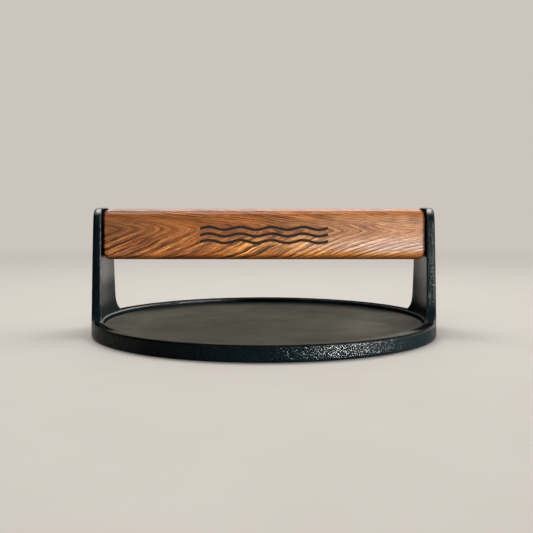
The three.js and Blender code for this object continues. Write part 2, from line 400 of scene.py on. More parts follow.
    # outside: wall, foot rounding, underside
    n_out, n_foot = 4, 6
    outer_tops = [(ids[k][0], sections[k][0][0], sections[k][0][2]) for k in range(nAB)]
    outer_tops += [(outer_row[c], outer_p[0] * (1 - c / ND), outer_p[2]) for c in range(1, ND + 1)]
    cols = []
    for vid, s, z in outer_tops:
        col = [vid]
        for i in range(1, n_out + 1):
            zz = z + (FOOT_R - z) * i / n_out
            col.append(add(place(s, rho_out(zz), zz)))
        for i in range(1, n_foot + 1):
            f = math.pi / 2 * i / n_foot
            col.append(add(place(s, DISC_R - FOOT_R * (1 - math.cos(f)), FOOT_R * (1 - math.sin(f)))))
        cols.append(col)
    for a, b in zip(cols, cols[1:]):
        for i in range(len(a) - 1):
            quad(a[i], a[i + 1], b[i + 1], b[i])
    foot_ring = [c[-1] for c in cols]
    foot_s = [t[1] for t in outer_tops]

    def disc_fill(ring, s_list, rho, z, rings_at):
        """Rings inwards from the outer ring, then a square core, so that no vertex gathers slivers."""
        N = len(ring) - 1
        n = N // 2
        prev = ring
        angles = [math.atan2(*reversed(place(s, rho, z)[:2])) for s in s_list]
        even = [math.pi / 2 * (1 - i / N) for i in range(N + 1)]
        for q, r in enumerate(rings_at):
            t = (q + 1) / len(rings_at)
            w = float(smoothstep(t * 1.2))
            now = []
            for i in range(N + 1):
                a = (1 - w) * angles[i] + w * even[i]
                bulge = 1 + 0.10 * w * math.sin(2 * a) ** 2
                now.append(add((r * bulge * math.cos(a), r * bulge * math.sin(a), z)))
            for i in range(N):
                quad(prev[i], prev[i + 1], now[i + 1], now[i])
            prev = now
        pts = [np.array(verts[v][:2]) for v in prev]
        a = pts[0][1]
        T = [pts[i] for i in range(n + 1)]
        Rr = [pts[N - j] for j in range(n + 1)]
        core = [[None] * (n + 1) for _ in range(n + 1)]
        for i in range(n + 1):
            core[i][n] = prev[i]
            core[n][i] = prev[N - i]
        for i in range(n):
            for j in range(n):
                u, v = i / n, j / n
                L, Bm = np.array([0.0, a * v]), np.array([pts[N][0] * u, 0.0])
                p = (1 - u) * L + u * Rr[j] + (1 - v) * Bm + v * T[i]
                p = p - ((1 - u) * v * T[0] + u * v * T[n] + u * (1 - v) * Rr[0])
                core[i][j] = add((p[0], p[1], z))
        for i in range(n):
            for j in range(n):
                quad(core[i][j], core[i + 1][j], core[i + 1][j + 1], core[i][j + 1])

    disc_fill(floor_ring, floor_s, RIM_IN - R_F, FLOOR_Z, [93.4 - 3.1 * i for i in range(12)])
    disc_fill(foot_ring, foot_s, DISC_R - FOOT_R, 0.0, [100.0 - 3.2 * i for i in range(14)])
    return verts, faces


def build_casting():
    verts, faces = casting_quadrant()
    verts = np.array(verts, float)
    all_v, all_f = [], []
    for sx in (1, -1):
        for sy in (1, -1):
            base = sum(len(v) for v in all_v)
            all_v.append(verts * np.array([sx, sy, 1.0]))
            for f in faces:
                g = [base + i for i in f]
                all_f.append(g if sx * sy > 0 else g[::-1])
    ob = make_object("cast_body", np.concatenate(all_v), all_f)
    bm = bmesh.new()
    bm.from_mesh(ob.data)
    bmesh.ops.remove_doubles(bm, verts=bm.verts, dist=2e-4)
    bmesh.ops.dissolve_degenerate(bm, edges=bm.edges, dist=1e-5)
    bmesh.ops.recalc_face_normals(bm, faces=bm.faces)
    open_edges = [e for e in bm.edges if len(e.link_faces) != 2]
    print("casting: verts", len(bm.verts), "faces", len(bm.faces), "open edges", len(open_edges),
          [tuple(round(c, 2) for c in e.verts[0].co) for e in open_edges[:6]])
    bm.to_mesh(ob.data)
    bm.free()
    ob.data.update()
    # the soft unevenness of a sand casting, always inwards, never on the ground pressing face
    co, no = coords(ob), normals(ob)
    for k in range(len(co)):
        x, y, z = co[k]
        w = min(1.0, max(0.0, z / 2.5))
        if w == 0.0:
            continue
        if z < FLOOR_Z + 0.3 and math.hypot(x, y) < RIM_IN:
            w *= 0.6
        n = noise.noise(Vector((x / 19.0, y / 19.0, z / 19.0 + 3.1)))
        n += 0.5 * noise.noise(Vector((x / 7.0 + 9.0, y / 7.0, z / 7.0)))
        co[k] -= no[k] * (0.05 * w * min(1.0, max(0.0, 0.5 + 0.5 * n)))
    ob.data.vertices.foreach_set("co", co.astype(np.float32).ravel())
    ob.data.update()
    # countersunk clearance holes for the screws
    for side in (1, -1):
        for z in SCREW_Z:
            apex = 103.7 - 0.3 - 5.0 - 0.3 * math.sqrt(2)
            v, f = revolve_x([(0, 95), (2.75, 95), (2.75, apex + 2.75), (5.3, apex + 5.3), (5.3, 112), (0, 112)], 64, side, z=z)
            tool = make_object("cutter", v, f)
            bm = bmesh.new()
            bm.from_mesh(tool.data)
            bmesh.ops.recalc_face_normals(bm, faces=bm.faces)
            bm.to_mesh(tool.data)
            bm.free()
            cut(ob, tool)
    ob.data.transform(Matrix.Scale(MM, 4))
    ob.data.update()
    sharpen(ob, 34)
    # where the skin of the casting is rough, where its outside edges are, and where light and shade are painted on it
    co, no = coords(ob) / MM, normals(ob)
    rho = np.hypot(co[:, 0], co[:, 1])
    radial = (co[:, :2] * no[:, :2]).sum(1) / np.maximum(rho, 1e-6)
    skin = np.ones(len(co))
    inside = (radial < -0.6) & (rho > 90) & (co[:, 2] > 9.0)
    skin[inside] = 0.28
    skin[(co[:, 2] < 7.4) & (rho < RIM_IN + 0.1) & (no[:, 2] > 0.2)] = 0.12
    skin[co[:, 2] < 0.05] = 0.0
    matte = np.zeros(len(co))
    matte[inside] = 0.10
    # painted light and shade: the rim's flat top takes the recess floor's lighter colour at the front and keeps the
    # dark colour at the back
    ledge = (no[:, 2] > 0.8) & (co[:, 2] < 9.6) & (rho > RIM_IN)
    near = smoothstep((20.0 - co[:, 1]) / 90.0)
    front = smoothstep((-25.0 - co[:, 1]) / 45.0)
    matte[ledge], skin[ledge] = (-1.0 + 1.35 * near + 0.65 * front)[ledge], (0.6 - 0.45 * front)[ledge]
    disc = (co[:, 2] < 7.4) & (rho < RIM_IN + 0.1) & (no[:, 2] > 0.2)
    matte[disc] = (-1.0 + 2.0 * smoothstep((no[:, 2] - 0.80) / 0.19))[disc]
    skin[disc] = (0.35 - 0.23 * smoothstep((no[:, 2] - 0.80) / 0.19))[disc]
    matte[co[:, 2] < 0.05] = 0.8
    # painted shade: the uprights' inner faces beside the bar are made dull and dark, as in the bar's shade
    bar_gap_shade = inside & (co[:, 2] > 46.0) & (no[:, 2] < 0.45)
    skin[bar_gap_shade], matte[bar_gap_shade] = 0.6, 0.85
    set_attribute(ob, "matte", matte)
    set_attribute(ob, "skin", skin)
    set_attribute(ob, "edge", np.clip(convexity(ob, 0) / 0.9, 0, 1))
    # painted shine: more specular on the tops of the uprights, and on their inner faces rising towards the top, far
    # stronger on the left than the right
    painted_shine = 2.0 * smoothstep((co[:, 2] - 71.5) / 2.0) * smoothstep((no[:, 2] - 0.45) / 0.35)
    left, right = inside & (co[:, 0] < 0), inside & (co[:, 0] > 0)
    painted_shine[left] = np.minimum(5.0 * smoothstep((co[left, 2] - 26.5) / 26.0), 2.0)
    painted_shine[right] = 1.2 * smoothstep((co[right, 2] - 25.0) / 32.0)
    painted_shine[bar_gap_shade] = 0.0
    set_attribute(ob, "painted_shine", painted_shine)
    return ob


# ------------------------------------------------------------------ the bar
MOTIF_Z, MOTIF_PITCH, MOTIF_HALF_L, MOTIF_HALF_T = -0.4, 4.0, 38.0, 0.85
MOTIF_WAVE, MOTIF_AMP = 19.0, 0.85


def motif(x, z):
    """1 inside the burnt wavy lines on the bar's front, 0 outside. z is from the bar's middle."""
    d = z - MOTIF_Z - MOTIF_AMP * math.sin(2 * math.pi * x / MOTIF_WAVE)
    if abs(d) > 1.5 * MOTIF_PITCH:
        return 0.0
    off = abs((d + MOTIF_PITCH / 2) % MOTIF_PITCH - MOTIF_PITCH / 2)
    r = math.hypot(off, max(0.0, abs(x) - MOTIF_HALF_L))
    return float(smoothstep((MOTIF_HALF_T + 0.25 - r) / 0.5))


def spaced(a, b, step):
    n = max(1, int(round((b - a) / step)))
    return [a + (b - a) * i / n for i in range(n + 1)]


def axis_stops(half, r, plan, n_round=5):
    """Grid stops along one axis: fine in the rounded zones, then as plan says: (to, step) from the middle out."""
    inner = half - r
    pos, at = [0.0], 0.0
    for to, step in plan:
        to = min(to, inner)
        if to > at + 1e-9:
            pos += spaced(at, to, step)[1:]
            at = to
    if at < inner - 1e-9:
        pos += spaced(at, inner, plan[-1][1])[1:]
    if n_round:
        pos += [inner + r * math.tan(math.pi / 4 * k / n_round) for k in range(1, n_round + 1)]
    return [-p for p in reversed(pos[1:])] + pos


def build_bar():
    """A bar rounded at BAR_R along its length; its ends at END_SIDE_R down the sides and END_TOP_R above and below."""
    hx, hy, hz, r = BAR_L / 2, BAR_D / 2, BAR_H / 2, BAR_R
    X = axis_stops(hx, END_TOP_R, [(MOTIF_HALF_L + 2, 0.5), (hx, 1.6)], 0)
    tail = [END_TOP_R * math.sin(math.pi / 2 * i / 8) for i in range(1, 8)]
    tail += [END_TOP_R - END_SIDE_R + END_SIDE_R * math.sin(math.pi / 2 * i / 5) for i in range(0, 6)]
    tail = [hx - END_TOP_R + t for t in sorted(tail)]
    X = [-t for t in reversed(tail)] + X + tail
    Y = axis_stops(hy, r, [(hy, 2.5)])
    Z = axis_stops(hz, r, [(8.0, 0.5), (hz, 1.5)])
    ids, verts, faces = {}, [], []

    def outline(y, z):
        """A point of the square section's border moved onto the rounded section."""
        qy, qz = min(max(y, r - hy), hy - r), min(max(z, r - hz), hz - r)
        l = math.hypot(y - qy, z - qz)
        return qy + (y - qy) / l * r, qz + (z - qz) / l * r

    def shrink(x, rad):
        d = abs(x) - (hx - rad)
        return 0.0 if d <= 0 else rad - math.sqrt(max(rad * rad - d * d, 0.0))

    def vid(i, j, k):
        key = (i, j, k)
        if key not in ids:
            x, y, z = X[i], Y[j], Z[k]
            t = max(abs(y) / hy, abs(z) / hz)
            if t > 0:
                y, z = outline(y / t, z / t)
                y, z = y * t, z * t
            if j == 0 and abs(x) < hx - END_TOP_R and abs(y + hy) < 1e-6:
                y += 0.32 * motif(x, z)
            y *= 1 - shrink(x, END_SIDE_R) / hy
            z *= 1 - shrink(x, END_TOP_R) / hz
            ids[key] = len(verts)
            verts.append((x, y, z + BAR_Z))
        return ids[key]

    nx, ny, nz = len(X) - 1, len(Y) - 1, len(Z) - 1
    for i in range(nx):
        for k in range(nz):
            faces.append((vid(i, 0, k), vid(i + 1, 0, k), vid(i + 1, 0, k + 1), vid(i, 0, k + 1)))
            faces.append((vid(i, ny, k), vid(i, ny, k + 1), vid(i + 1, ny, k + 1), vid(i + 1, ny, k)))
        for j in range(ny):
            faces.append((vid(i, j, 0), vid(i, j + 1, 0), vid(i + 1, j + 1, 0), vid(i + 1, j, 0)))
            faces.append((vid(i, j, nz), vid(i + 1, j, nz), vid(i + 1, j + 1, nz), vid(i, j + 1, nz)))
    for j in range(ny):
        for k in range(nz):
            faces.append((vid(0, j, k), vid(0, j, k + 1), vid(0, j + 1, k + 1), vid(0, j + 1, k)))
            faces.append((vid(nx, j, k), vid(nx, j + 1, k), vid(nx, j + 1, k + 1), vid(nx, j, k + 1)))
    ob = make_object("hardwood_bar", verts, faces)
    # stepped holes in the end grain for the inserts
    for side in (1, -1):
        for z in SCREW_Z:
            prof = [(0, 75.2), (4.3, 77.2), (4.3, 95.8), (5.8, 95.8), (5.8, 105), (0, 105)]
            v, f = revolve_x(prof, 48, side, z=z)
            tool = make_object("cutter", v, f)
            bm = bmesh.new()
            bm.from_mesh(tool.data)
            bmesh.ops.recalc_face_normals(bm, faces=bm.faces)
            bm.to_mesh(tool.data)
            bm.free()
            cut(ob, tool)
    finish_piece(ob, 34)
    return ob


# ------------------------------------------------------------------ screws, washers, inserts
def thread(pitch, depth, crest=0.2, start=1.0):
    """Height of a helical thread at angle a and place x: 0 at the root, depth at the crest."""
    def f(a, x):
        t = (x / pitch - a / (2 * math.pi)) % 1.0
        ramp = (1 - crest) / 2
        if t < ramp:
            return depth * t / ramp
        if t < ramp + crest:
            return depth
        return depth * (1 - t) / ramp
    return f


def build_screw(name, side, z):
    hx, tip, seg = 103.7, 83.7, 60
    prof, kind = [], []

    def put(r, x, k="plain"):
        prof.append((r, x))
        kind.append(k)

    put(0.0, tip)
    put(1.5, tip)
    put(1.95, tip + 0.35)
    th = thread(0.8, 0.42)
    x = tip + 0.6
    while x < hx - 3.6:
        put(2.06, x, "thread")
        x += 0.1
    put(2.2, hx - 3.3)
    put(2.25, hx - 3.05)
    put(4.75, hx - 0.62)
    put(4.95, hx - 0.38)
    put(5.0, hx - 0.28)
    put(4.97, hx - 0.12)
    put(4.85, hx - 0.02)
    put(4.7, hx)
    put(2.3, hx)
    put(1.95, hx - 0.04)
    put(1.8, hx - 0.16)
    put(1.0, hx - 0.3, "hex")
    put(1.0, hx - 1.3, "hex")
    put(1.0, hx - 2.2, "hex")
    put(0.9, hx - 2.45, "hex_in")
    put(0.0, hx - 2.8)

    def radius(k, a, r, x):
        if kind[k] == "thread":
            fade = min(1.0, (x - tip - 0.6) / 0.9, (hx - 3.5 - x) / 0.8)
            return r + max(0.0, fade) * th(a, x)
        if kind[k].startswith("hex"):
            b = (a + math.pi / 6) % (math.pi / 3) - math.pi / 6
            return (1.5 if kind[k] == "hex" else 1.1) / math.cos(b)
        return r

    v, f = revolve_x(prof, seg, side, radius, z)
    ob = make_object(name, v, f)
    finish_piece(ob, 30)
    return ob


def build_washer(name, side, z):
    x0, x1, c = 97.45, 98.85, 0.22
    prof = []
    for r, x, a0 in ((6.0 - c, x0 + c, -90), (6.0 - c, x1 - c, 0), (2.75 + c, x1 - c, 90), (2.75 + c, x0 + c, 180)):
        for i in range(5):
            a = math.radians(a0 + 90 * i / 4)
            prof.append((r + c * math.cos(a), x + c * math.sin(a)))
    v, f = revolve_x(prof, 64, side, z=z, close=True)
    ob = make_object(name, v, f)
    finish_piece(ob, 40)
    return ob


def build_insert(name, side, z):
    x1, x0 = 97.1, 85.1
    outer = thread(2.4, 0.72, crest=0.12)
    inner = thread(0.8, 0.28, crest=0.15)
    prof, kind = [], []

    def put(r, x, k="plain"):
        prof.append((r, x))
        kind.append(k)

    put(2.62, x0)
    put(2.9, x0)
    put(3.15, x0 + 0.25)
    x = x0 + 0.4
    while x < x1 - 1.3:
        put(3.25, x, "outer")
        x += 0.2
    put(3.25, x1 - 1.15)
    put(5.2, x1 - 1.0)
    put(5.42, x1 - 0.92)
    put(5.5, x1 - 0.75)
    put(5.5, x1 - 0.22)
    put(5.42, x1 - 0.07)
    put(5.25, x1)
    put(2.95, x1)
    put(2.62, x1 - 0.3)
    x = x1 - 0.5
    while x > x0 + 0.4:
        put(2.83, x, "inner")
        x -= 0.13

    def radius(k, a, r, x):
        if kind[k] == "outer":
            return r + max(0.0, min(1.0, (x - x0 - 0.4) / 2.0, (x1 - 1.2 - x) / 0.6)) * outer(a, x)
        if kind[k] == "inner":
            return r - inner(a, x)
        return r

    v, f = revolve_x(prof, 48, side, radius, z, close=True)
    ob = make_object(name, v, f)
    finish_piece(ob, 32)
    return ob


# ------------------------------------------------------------------ material graphs
class Graph:
    def __init__(self, name):
        self.mat = bpy.data.materials.new(name)
        self.mat.use_nodes = True
        self.nt = self.mat.node_tree
        self.nt.nodes.clear()
        self.out = self.nt.nodes.new("ShaderNodeOutputMaterial")
        self.bsdf = self.nt.nodes.new("ShaderNodeBsdfPrincipled")
        self.nt.links.new(self.bsdf.outputs[0], self.out.inputs["Surface"])
        tc = self.nt.nodes.new("ShaderNodeTexCoord")
        self.mm = self.vmath("SCALE", tc.outputs["Object"], scale=1000.0)

    def feed(self, socket, value):
        if isinstance(value, bpy.types.NodeSocket):
            self.nt.links.new(value, socket)
        else:
            socket.default_value = value

    def m(self, op, *args, clamp=False):
        n = self.nt.nodes.new("ShaderNodeMath")
        n.operation, n.use_clamp = op, clamp
        for i, a in enumerate(args):
            self.feed(n.inputs[i], a)
        return n.outputs[0]

    def add(self, *a):
        r = a[0]
        for b in a[1:]:
            r = self.m("ADD", r, b)
        return r

    def mul(self, *a):
        r = a[0]
        for b in a[1:]:
            r = self.m("MULTIPLY", r, b)
        return r

    def sub(self, a, b):
        return self.m("SUBTRACT", a, b)

    def vmath(self, op, a, b=None, scale=None):
        n = self.nt.nodes.new("ShaderNodeVectorMath")
        n.operation = op
        self.feed(n.inputs[0], a)
        if b is not None:
            self.feed(n.inputs[1], b)
        if scale is not None:
            self.feed(n.inputs["Scale"], scale)
        return n.outputs[0]

    def split(self, v):
        n = self.nt.nodes.new("ShaderNodeSeparateXYZ")
        self.feed(n.inputs[0], v)
        return n.outputs[0], n.outputs[1], n.outputs[2]

    def vec(self, x, y, z):
        n = self.nt.nodes.new("ShaderNodeCombineXYZ")
        for i, a in enumerate((x, y, z)):
            self.feed(n.inputs[i], a)
        return n.outputs[0]

    def noise(self, v, scale=1.0, detail=2.0, rough=0.5, distortion=0.0):
        n = self.nt.nodes.new("ShaderNodeTexNoise")
        n.noise_dimensions = "3D"
        self.feed(n.inputs["Vector"], v)
        n.inputs["Scale"].default_value = scale
        n.inputs["Detail"].default_value = detail
        n.inputs["Roughness"].default_value = rough
        n.inputs["Distortion"].default_value = distortion
        return n.outputs[0]

    def voronoi(self, v, scale=1.0, feature="SMOOTH_F1", smooth=0.6):
        n = self.nt.nodes.new("ShaderNodeTexVoronoi")
        n.feature = feature
        self.feed(n.inputs["Vector"], v)
        n.inputs["Scale"].default_value = scale
        if feature == "SMOOTH_F1":
            n.inputs["Smoothness"].default_value = smooth
        return n.outputs["Distance"]

    def white(self, v):
        n = self.nt.nodes.new("ShaderNodeTexWhiteNoise")
        n.noise_dimensions = "1D"
        self.feed(n.inputs["W"], v)
        return n.outputs["Value"]

    def step(self, v, a, b, lo=0.0, hi=1.0):
        n = self.nt.nodes.new("ShaderNodeMapRange")
        n.interpolation_type = "SMOOTHSTEP"
        self.feed(n.inputs["Value"], v)
        n.inputs["From Min"].default_value, n.inputs["From Max"].default_value = a, b
        n.inputs["To Min"].default_value, n.inputs["To Max"].default_value = lo, hi
        return n.outputs[0]

    def ramp(self, v, stops, mode="LINEAR"):
        n = self.nt.nodes.new("ShaderNodeValToRGB")
        n.color_ramp.interpolation = mode
        e = n.color_ramp.elements
        while len(e) > 1:
            e.remove(e[-1])
        e[0].position, e[0].color = stops[0][0], (*stops[0][1], 1)
        for p, c in stops[1:]:
            x = e.new(p)
            x.color = (*c, 1)
        self.feed(n.inputs[0], v)
        return n.outputs[0]

    def mix(self, fac, a, b, kind="MIX"):
        n = self.nt.nodes.new("ShaderNodeMix")
        n.data_type, n.blend_type = "RGBA", kind
        self.feed(n.inputs[0], fac)
        for s, c in ((n.inputs[6], a), (n.inputs[7], b)):
            self.feed(s, (*c, 1) if isinstance(c, tuple) and len(c) == 3 else c)
        return n.outputs[2]

    def attr(self, name):
        n = self.nt.nodes.new("ShaderNodeAttribute")
        n.attribute_name = name
        return n.outputs["Fac"]

    def normal(self):
        n = self.nt.nodes.new("ShaderNodeNewGeometry")
        return n.outputs["Normal"]

    def bump(self, height, distance, strength=1.0, normal=None):
        n = self.nt.nodes.new("ShaderNodeBump")
        self.feed(n.inputs["Height"], height)
        self.feed(n.inputs["Distance"], distance)
        self.feed(n.inputs["Strength"], strength)
        if normal is not None:
            self.feed(n.inputs["Normal"], normal)
        return n.outputs[0]

    def set(self, **kw):
        names = {"color": "Base Color", "rough": "Roughness", "metal": "Metallic", "spec": "Specular IOR Level", "normal": "Normal",
                 "coat": "Coat Weight", "coat_rough": "Coat Roughness", "aniso": "Anisotropic", "ior": "IOR"}
        for k, v in kw.items():
            s = self.bsdf.inputs[names[k]]
            self.feed(s, (*v, 1) if isinstance(v, tuple) and len(v) == 3 else v)


def iron_material():
    g = Graph("seasoned_cast_iron")
    P = g.mm
    skin, edge, matte = g.attr("skin"), g.attr("edge"), g.attr("matte")
    # the painted extra shine on the upright tops and inner faces comes in as an attribute
    painted_shine = g.attr("painted_shine")
    # pebbled skin left by the sand, with a finer grain on top
    warp = g.vmath("SCALE", g.vec(g.noise(P, 0.35, 1), g.noise(g.vmath("ADD", P, (31.0, 7.0, 3.0)), 0.35, 1), g.noise(g.vmath("ADD", P, (5.0, 47.0, 13.0)), 0.35, 1)), scale=1.2)
    Q = g.vmath("ADD", P, warp)
    cell = g.voronoi(Q, 1.55, smooth=0.2)
    pebble = g.m("SUBTRACT", 1.0, g.mul(cell, cell))
    grain = g.noise(Q, 1.9, 1.0, 0.5)
    height = g.add(pebble, g.mul(grain, 0.40))
    fine = g.noise(P, 3.4, 2.0, 0.6)
    slow = g.noise(P, 0.05, 3.0, 0.55)
    mott = g.noise(P, 0.22, 3.0, 0.6)
    thin = g.step(edge, 0.60, 1.0)
    b1 = g.bump(height, g.mul(skin, g.add(1.0, g.mul(thin, -0.5), g.mul(g.m("MINIMUM", painted_shine, 1.0), -0.35)), 0.00021))
    b2 = g.bump(fine, g.add(0.00001, g.mul(skin, 0.00002)), normal=b1)
    base = g.ramp(g.add(g.mul(slow, 0.5), g.mul(mott, 0.5)), [(0.3, (0.0003, 0.0014, 0.0019)), (0.55, (0.0006, 0.0020, 0.0026)), (0.75, (0.0021, 0.0031, 0.0034))])
    plate = g.ramp(g.add(g.mul(slow, 0.6), g.mul(mott, 0.4)), [(0.3, (0.0285, 0.0274, 0.0228)), (0.5, (0.0370, 0.0354, 0.0292)), (0.7, (0.0475, 0.0456, 0.0382))])
    # painted shade: the far corner of the recess floor is darkened, as if shaded by the rim wall
    x, y, z = g.split(P)
    rho = g.m("SQRT", g.add(g.mul(x, x), g.mul(y, y)))
    far_corner_shade = g.mul(g.step(rho, 76.0, 99.0), g.step(y, 10.0, 60.0))
    # painted light: the recess floor is painted lighter towards the right and, less so, towards the left
    plate = g.mix(g.step(x, 25.0, 80.0), plate, g.mix(1.0, plate, (1.75, 1.75, 1.78), "MULTIPLY"))
    plate = g.mix(g.step(x, -45.0, -85.0), plate, g.mix(1.0, plate, (1.42, 1.42, 1.42), "MULTIPLY"))
    # the painted shade in the far corner
    plate = g.mix(g.mul(far_corner_shade, 0.92), plate, (0.0008, 0.0010, 0.0010))
    base = g.mix(g.step(skin, 0.3, 0.15), base, plate)
    # seasoning worn thin on the outside edges
    worn = g.mul(g.step(edge, 0.55, 1.0), g.step(g.noise(P, 0.35, 3.0, 0.55), 0.36, 0.70))
    base = g.mix(g.mul(worn, 0.22), base, (0.040, 0.040, 0.038))
    # painted highlight: the thin rim edges beside the uprights are painted lighter and given more shine, most on the
    # left
    rim_edge_highlight = g.mul(thin, g.step(g.m("ABSOLUTE", x), 62.0, 94.0), g.step(z, 12.0, 9.5), g.step(x, -20.0, 60.0, 1.0, 0.4))
    base = g.mix(g.mul(rim_edge_highlight, 0.60), base, (0.070, 0.068, 0.062))
    # painted shade: a thin dark line along the front of the rim's outer top edge, with its shine cut as well
    painted_edge_shade = g.mul(thin, g.step(y, -25.0, -60.0), g.step(rho, 102.6, 103.8), g.step(z, 6.4, 7.4))
    base = g.mix(g.mul(painted_edge_shade, 0.9), base, (0.0006, 0.0012, 0.0013))
    # painted shade: less shine on the uprights, and least where they meet the rim
    painted_dulling = g.mul(g.step(g.m("ABSOLUTE", x), 67.0, 93.0), g.add(0.40, g.mul(g.step(z, 22.0, 12.0), 0.35)))
    lit = g.mul(g.add(0.24, g.mul(g.step(height, 0.80, 1.34), 1.75)), g.step(g.noise(P, 1.1, 2.0, 0.6), 0.30, 0.62, 0.75, 1.15))
    calm = g.sub(1.0, g.m("MAXIMUM", g.m("ABSOLUTE", matte), painted_shine, clamp=True))
    lit = g.add(1.0, g.mul(calm, g.add(lit, -1.0)))
    rough = g.add(0.11, g.mul(g.m("ABSOLUTE", matte), 0.63), g.mul(mott, 0.07), g.mul(fine, 0.03), g.mul(thin, 0.16))
    g.set(color=base, rough=rough, metal=0.0, spec=g.mul(lit, g.add(1.0, g.mul(painted_edge_shade, -0.88)), g.m("MAXIMUM", g.add(0.09, g.mul(painted_dulling, -0.09), g.mul(g.m("ABSOLUTE", matte), -0.085), g.mul(thin, 0.03), g.mul(rim_edge_highlight, 0.10), g.mul(painted_shine, 0.45)), 0.01)), normal=b2)
    return g.mat


def wood_material():
    """Oiled hardwood, sawn so that the growth rings run out as nested arches pointing at the right-hand end."""
    g = Graph("oiled_hardwood")
    x, y, z0 = g.split(g.mm)
    z = g.sub(z0, BAR_Z)
    w1 = g.sub(g.noise(g.vec(g.mul(x, 0.018), g.mul(y, 0.05), g.mul(z, 0.06)), 1.0, 2.0), 0.5)
    w2 = g.sub(g.noise(g.vec(g.mul(x, 0.045), g.mul(y, 0.22), g.mul(z, 0.22)), 1.0, 2.0), 0.5)
    w3 = g.sub(g.noise(g.vec(g.mul(x, 0.30), g.mul(y, 0.9), g.mul(z, 0.9)), 1.0, 2.0), 0.5)
    # the rings lie steeper at the left and run nearly along the bar at the right
    flat = g.step(x, -5.0, 90.0)
    dz = g.add(z, -2.8, g.mul(w1, 5.0))
    up, dn = g.m("MAXIMUM", dz, 0.0), g.m("MAXIMUM", g.mul(dz, -1.0), 0.0)
    u4 = g.mul(up, g.add(3.2, g.mul(flat, 1.2)))
    d2 = g.mul(dn, g.add(2.2, g.mul(flat, 2.6)))
    A = g.m("SQRT", g.add(9.0, g.mul(u4, u4), g.mul(d2, d2)))
    A = g.add(A, g.mul(g.m("MAXIMUM", g.add(up, -3.5), 0.0), 6.5), g.mul(g.add(y, 14.0), 3.4))
    gx = g.add(x, A, g.mul(w1, 20.0), g.mul(w2, 6.0), g.mul(w3, 1.3))
    spacing = g.noise(g.vec(g.mul(gx, 0.045), 3.0, 7.0), 1.0, 1.0)
    u = g.add(g.mul(gx, 1 / 9.5), g.mul(spacing, 1.0), 0.55)
    ring, number = g.m("FRACT", u), g.m("FLOOR", u)
    lot = g.white(number)
    # earlywood to latewood across each ring
    body = g.ramp(ring, [(0.0, (0.310, 0.124, 0.034)), (0.22, (0.335, 0.138, 0.040)), (0.60, (0.215, 0.074, 0.021)), (0.90, (0.125, 0.038, 0.011)), (0.97, (0.080, 0.024, 0.008)), (1.0, (0.310, 0.124, 0.034))])
    plain = g.ramp(g.noise(g.vec(g.mul(gx, 0.10), g.mul(x, 0.02), g.mul(z, 0.03)), 1.0, 3.0), [(0.35, (0.165, 0.053, 0.016)), (0.65, (0.305, 0.120, 0.034))])
    zone = g.step(g.m("ABSOLUTE", dz), 1.0, 7.0)
    col = g.mix(g.mul(g.add(0.35, g.mul(zone, 0.45)), g.add(0.45, g.mul(lot, 0.55))), plain, body)
    # streaks that follow the rings: broad, then as fine as the vessels; calmer where the arches turn
    quiet = g.mul(g.step(x, -20.0, -60.0), g.step(z, -6.0, 0.0))
    calm = g.mul(g.add(0.62, g.mul(zone, 0.38)), g.add(1.0, g.mul(flat, -0.38), g.mul(quiet, -0.15)))
    streak = g.noise(g.vec(g.mul(gx, 0.30), g.mul(x, 0.025), g.mul(y, 0.2)), 1.0, 3.0, 0.60)
    col = g.mix(calm, col, g.mix(1.0, col, g.ramp(streak, [(0.34, (0.48, 0.38, 0.32)), (0.5, (1.0, 0.97, 0.95)), (0.66, (1.50, 1.62, 1.60))]), "MULTIPLY"))
    hair = g.noise(g.vec(g.mul(gx, 0.62), g.mul(x, 0.06), g.mul(y, 0.5)), 1.0, 2.0, 0.6)
    col = g.mix(calm, col, g.mix(1.0, col, g.ramp(hair, [(0.36, (0.30, 0.23, 0.20)), (0.50, (1.00, 0.98, 0.96)), (0.64, (1.62, 1.74, 1.70))]), "MULTIPLY"))
    # dark lines at the ring borders that swell, fade and break along their length
    pen = g.noise(g.vec(g.mul(x, 0.040), g.mul(y, 0.08), g.mul(z, 0.10)), 1.0, 3.0, 0.6)
    width = g.add(0.060, g.mul(g.step(pen, 0.40, 0.60), 0.205))
    near = g.m("ABSOLUTE", g.add(ring, -0.93))
    line = g.m("DIVIDE", g.sub(width, near), 0.045, clamp=True)
    heavy = g.mul(g.step(lot, 0.05, 0.45), g.step(pen, 0.30, 0.46), g.add(0.40, g.mul(zone, 0.60)))
    line = g.mul(line, heavy, g.add(1.0, g.mul(flat, -0.35)))
    ring2 = g.m("FRACT", g.add(g.mul(gx, 1 / 5.9), g.mul(spacing, 3.0), g.mul(w2, 0.6)))
    line2 = g.mul(g.step(g.m("ABSOLUTE", g.add(ring2, -0.5)), 0.17, 0.04), g.step(g.noise(g.vec(g.mul(x, 0.05), g.mul(y, 0.1), g.mul(z, 0.16)), 1.0, 2.0), 0.44, 0.58))
    col = g.mix(g.mul(line2, g.add(0.72, g.mul(quiet, -0.32))), col, (0.045, 0.016, 0.008))
    col = g.mix(g.mul(line, 0.95), col, (0.020, 0.0085, 0.0055))
